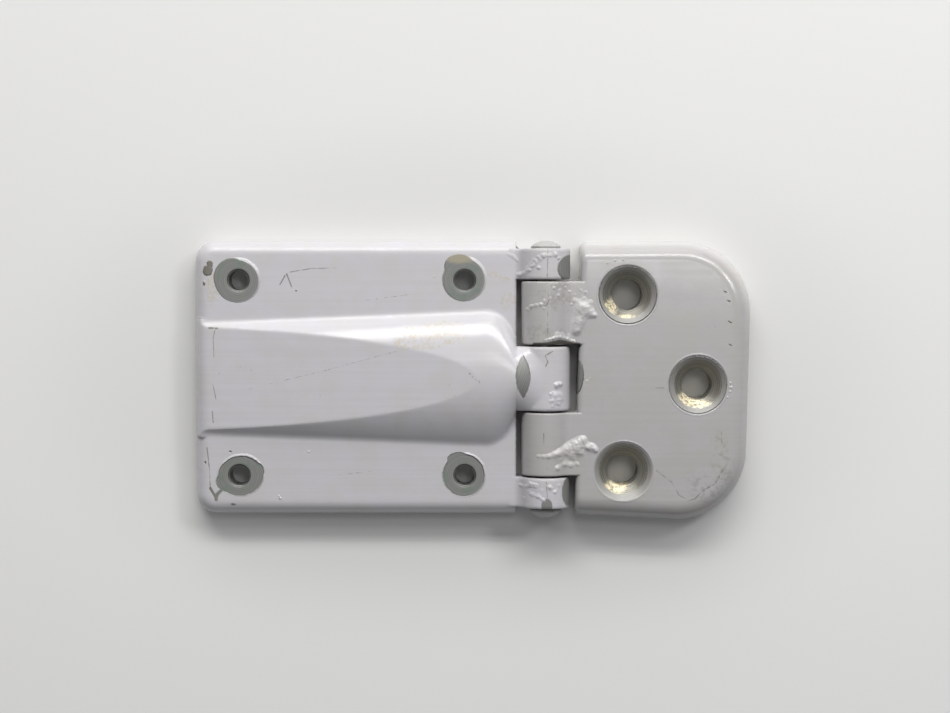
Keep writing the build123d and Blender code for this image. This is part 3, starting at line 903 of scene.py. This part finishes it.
lumps = {
    "upperDoorLump": ("door_leaf", "door_side", 0.25, [
        (37.3, 11.5, 1.05, 0.7), (38.1, 11.0, 0.8, 0.45), (37.1, 10.3, 0.9, 0.5), (36.9, 9.3, 0.9, 0.55),
        (36.6, 8.4, 0.85, 0.55), (36.4, 7.6, 0.65, 0.45), (38.8, 10.5, 0.6, 0.4), (39.4, 10.2, 0.4, 0.25),
        (36.1, 12.7, 0.5, 0.2), (38.7, 12.4, 0.5, 0.16), (37.6, 13.0, 0.45, 0.14),
    ]),
    "lowerDoorLump": ("door_leaf", "door_side", 0.4, [
        (30.2, -12.4, 0.4, 0.16), (31.0, -12.5, 0.45, 0.2),
        (31.9, -12.5, 0.5, 0.24), (32.9, -12.3, 0.6, 0.3),
        (33.8, -12.1, 0.7, 0.38), (34.6, -11.8, 0.85, 0.45),
        (35.5, -11.5, 0.95, 0.5), (36.4, -11.0, 1.0, 0.52),
        (37.1, -10.4, 0.85, 0.5), (37.6, -9.9, 0.5, 0.4),
        (38.2, -11.0, 0.6, 0.35), (39.0, -11.2, 0.65, 0.45),
        (39.6, -11.6, 0.45, 0.3), (37.0, -12.0, 0.8, 0.35),
        (35.8, -12.7, 0.65, 0.25), (34.5, -13.8, 0.55, 0.36),
        (33.4, -14.4, 0.5, 0.32), (35.6, -14.0, 0.5, 0.3),
        (36.6, -13.9, 0.4, 0.22), (34.0, -13.0, 0.5, 0.2),
    ]),
    "middleKnuckleLump": ("fixed_leaf", "fixed_side", 1.0, [
        (33.3, -1.1, 0.55, 0.36), (33.9, -0.8, 0.4, 0.2), (32.2, -2.3, 0.55, 0.2), (32.9, -2.7, 0.6, 0.22),
        (33.7, -2.5, 0.55, 0.22), (32.4, -3.3, 0.6, 0.22), (33.3, -3.5, 0.6, 0.22), (34.0, -3.3, 0.5, 0.18),
        (32.7, -4.3, 0.5, 0.17), (33.6, -4.2, 0.45, 0.14),
    ]),
    "upperKnuckleLump": ("fixed_leaf", "fixed_side", 1.0, [
        (27.1, 16.7, 0.5, 0.2), (27.9, 17.0, 0.5, 0.26), (28.5, 17.6, 0.55, 0.3), (29.1, 18.2, 0.5, 0.32),
        (29.6, 18.9, 0.5, 0.3), (30.3, 19.5, 0.5, 0.28), (31.0, 19.9, 0.5, 0.26), (32.0, 20.0, 0.5, 0.2),
        (30.2, 17.9, 0.4, 0.16), (33.0, 20.1, 0.5, 0.16), (33.6, 19.4, 0.4, 0.14),
    ]),
    "notchFlake": ("door_leaf", "door_side", 0.6, [
        (31.4, 6.3, 0.28, 0.18), (32.0, 6.4, 0.28, 0.22), (32.6, 6.55, 0.3, 0.27), (33.2, 6.7, 0.3, 0.3),
        (33.8, 6.75, 0.3, 0.3), (34.4, 6.6, 0.3, 0.27), (35.0, 6.4, 0.3, 0.25), (35.6, 6.2, 0.28, 0.23),
        (36.1, 6.05, 0.28, 0.2), (33.2, 7.3, 0.5, 0.16), (34.2, 7.2, 0.5, 0.16), (35.2, 7.0, 0.5, 0.13),
    ]),
    "lowerKnuckleCrust": ("fixed_leaf", "fixed_side", 1.2, [
        (27.4, -17.5, 0.5, 0.2), (28.3, -17.9, 0.6, 0.2),
        (29.0, -17.1, 0.55, 0.2), (29.8, -17.3, 0.5, 0.18),
        (29.2, -18.6, 0.5, 0.2), (30.2, -18.9, 0.5, 0.2),
        (30.8, -18.0, 0.45, 0.16), (31.0, -19.5, 0.4, 0.16),
        (27.9, -19.3, 0.4, 0.14), (32.2, -17.5, 0.5, 0.18),
        (33.0, -18.2, 0.5, 0.16), (33.6, -17.3, 0.4, 0.14),
    ]),
    "upperKnuckleCrust": ("door_leaf", "door_side", 0.9, [
        (28.5, 11.2, 0.38, 0.22), (29.1, 11.8, 0.36, 0.2), (29.9, 11.9, 0.4, 0.2), (30.6, 12.0, 0.4, 0.2),
        (31.2, 12.7, 0.36, 0.18), (31.1, 11.4, 0.3, 0.14),
    ]),
    "neckCrust": ("door_leaf", "door_side", 0.8, [
        (32.7, 14.7, 0.36, 0.15), (33.7, 14.3, 0.4, 0.16),
        (34.6, 14.8, 0.32, 0.13), (33.5, 13.5, 0.36, 0.14),
        (35.3, 14.0, 0.36, 0.15), (36.1, 13.5, 0.4, 0.15),
        (36.3, 12.6, 0.34, 0.14), (35.6, 12.0, 0.32, 0.13),
        (37.1, 14.3, 0.45, 0.12), (37.9, 13.9, 0.4, 0.11),
        (37.3, 13.3, 0.36, 0.14), (36.7, 14.9, 0.3, 0.12),
        (32.1, 13.1, 0.34, 0.14), (34.3, 12.8, 0.3, 0.12),
    ]),
    "neckEdgeCrust": ("door_leaf", "door_side", 1.0, [
        (32.0, 15.3, 0.36, 0.14), (33.2, 15.4, 0.4, 0.14), (34.1, 15.2, 0.3, 0.12),
    ]),
    "slotSpeck": ("door_leaf", "door_side", 0.5, [(38.1, -0.35, 0.3, 0.2), (38.5, 0.1, 0.22, 0.14)]),
    "rimNibs": ("door_leaf", "door_side", 0.5, [
        (61.35, -0.7, 0.24, 0.2), (61.45, -1.4, 0.28, 0.24),
        (61.3, -2.1, 0.24, 0.2), (60.9, -3.0, 0.2, 0.14),
        (41.4, 18.7, 0.22, 0.14), (42.6, 19.1, 0.24, 0.16), (43.9, 19.2, 0.22, 0.14),
    ]),
    "cornerRun": ("fixed_leaf", "fixed_side", 0.3, [
        (25.4, 20.2, 0.6, 0.11), (26.0, 19.9, 0.5, 0.11), (26.5, 19.5, 0.45, 0.11), (26.9, 19.0, 0.4, 0.11),
    ]),
    "edgeNibs": ("fixed_leaf", "fixed_side", 0.3, [
        (-7.0, -12.0, 0.26, 0.2), (-11.7, -19.6, 0.24, 0.22),
        (-11.9, -19.2, 0.2, 0.16), (13.4, 16.5, 0.22, 0.16),
    ]),
}
lumpMaterials = {
    "fixed_leaf": makeLumpMaterial("thickFixedPaint", thickPaintLook, fixedLook),
    "door_leaf": makeLumpMaterial("thickDoorPaint", thickPaintLook, doorLook),
}
for name, (node, body, uneven, drops) in lumps.items():
    lump = makeLump(name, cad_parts[node], uneven, drops, lumpMaterials[node], lumpLook)
    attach(lump, body)
print("lumps made")

# Floor, lights and camera
floorLook = {
    "half": 3.0,
    "colour": (0.74, 0.74, 0.73, 1),
    "roughness": 0.9,
    "glow": (1, 1, 1, 1),
    "lift": 0.07,              # how much the floor round the hinge is lightened for the camera
    "middle": (20.0, 0.0),     # under the hinge it isn't lightened, so that its holes stay dark
    "clear": (52.0, 30.0),
    "clearSpan": (0.85, 1.6),
}


def makeFloor(look):
    bm = bmesh.new()
    bmesh.ops.create_grid(bm, x_segments=1, y_segments=1, size=look["half"])
    mesh = bpy.data.meshes.new("floor")
    bm.to_mesh(mesh)
    bm.free()
    floor = bpy.data.objects.new("floor", mesh)
    bpy.context.scene.collection.objects.link(floor)
    material, tree, shader = newMaterial("paleFloor")
    rays = addNode(tree, "ShaderNodeLightPath").outputs
    seen = mathNode(tree, "MAXIMUM", rays["Is Camera Ray"], rays["Is Glossy Ray"])
    seen = mathNode(tree, "MAXIMUM", seen, rays["Is Transmission Ray"])
    offset = vectorNode(tree, "SUBTRACT", markPosition(tree), (*look["middle"], 0))
    scaled = vectorNode(tree, "DIVIDE", offset, (*look["clear"], 1))
    away = rangeNode(tree, vectorNode(tree, "LENGTH", scaled, output=1), *look["clearSpan"])
    lift = mathNode(tree, "MULTIPLY", mathNode(tree, "MULTIPLY", seen, away), look["lift"])
    tree.links.new(lift, shader.inputs["Emission Strength"])
    shader.inputs["Base Color"].default_value = look["colour"]
    shader.inputs["Emission Color"].default_value = look["glow"]
    shader.inputs["Roughness"].default_value = look["roughness"]
    floor.data.materials.append(material)


# A light's place, target, width and height are in metres, and its power in watts
lights = {
    "keyLight": ((0.05, 0.56, 0.42), (0.02, 0.0, 0.004), (0.8, 0.16), 3.4, (1.0, 0.99, 0.97)),
    "keyTube": ((0.05, 0.548, 0.411), (0.02, 0.0, 0.004), (0.8, 0.02), 0.7, (1.0, 0.99, 0.97)),
    "lowWindow": ((-0.04, 0.5, 0.13), (0.018, 0.0, 0.004), (0.6, 0.22), 1.0, (1.0, 0.995, 0.985)),
    "sideWindow": ((0.34, 0.26, 0.33), (0.05, 0.01, 0.004), (0.1, 0.1), 0.5, (1.0, 1.0, 1.0)),
    "topGlow": ((0.1, 0.19, 0.5), (0.05, 0.01, 0.004), (0.16, 0.12), 0.25, (1.0, 1.0, 1.0)),
    "softFill": ((0.1, -0.1, 0.7), (0.018, 0.0, 0.0), (0.6, 0.6), 0.2, (0.97, 0.98, 1.0)),
}
worldLook = {
    "strength": 0.17,
    "seen": 1.0,               # its strength where the camera sees it
    "colour": (0.97, 0.98, 1.0, 1),
}


def addLight(name, place, target, size, power, colour):
    data = bpy.data.lights.new(name, "AREA")
    data.shape = "RECTANGLE"
    data.size, data.size_y = size
    data.energy = power
    data.color = colour
    lamp = bpy.data.objects.new(name, data)
    lamp.location = place
    toTarget = Vector(target) - Vector(place)
    lamp.rotation_euler = toTarget.to_track_quat("-Z", "Y").to_euler()
    bpy.context.scene.collection.objects.link(lamp)


def makeWorld(look):
    world = bpy.data.worlds.new("studio")
    world.use_nodes = True
    tree = world.node_tree
    tree.nodes.clear()
    rays = addNode(tree, "ShaderNodeLightPath").outputs
    seen = mathNode(tree, "MAXIMUM", rays["Is Camera Ray"], rays["Is Transmission Ray"])
    shade = mixValue(tree, seen, look["strength"], look["seen"])
    skyLinks = {"Color": look["colour"], "Strength": shade}
    sky = addNode(tree, "ShaderNodeBackground", None, skyLinks)
    output = tree.nodes.new("ShaderNodeOutputWorld")
    tree.links.new(sky.outputs[0], output.inputs[0])
    bpy.context.scene.world = world


makeFloor(floorLook)
makeWorld(worldLook)
for name, values in lights.items():
    addLight(name, *values)

cameraLook = {
    "target": (20.02, 3.52, 4.8),
    "distance": 324.8,
    "tilt": 2.76,              # degrees from straight down
    "lens": 75.8,
    "sensor": 36.0,
    "nearest": 0.01,           # in metres
}


def makeCamera(look):
    data = bpy.data.cameras.new("camera")
    data.lens = look["lens"]
    data.sensor_width = look["sensor"]
    data.sensor_fit = "HORIZONTAL"
    data.clip_start = look["nearest"]
    camera = bpy.data.objects.new("camera", data)
    tilt = radians(look["tilt"])
    away = Vector((0, sin(tilt), cos(tilt))) * look["distance"]
    camera.location = (Vector(look["target"]) + away) * mm
    camera.rotation_euler = (-tilt, 0, 0)
    bpy.context.scene.collection.objects.link(camera)
    bpy.context.scene.camera = camera


makeCamera(cameraLook)
bpy.context.scene.view_settings.view_transform = "Standard"
print("stage made")

bpy.context.view_layer.update()
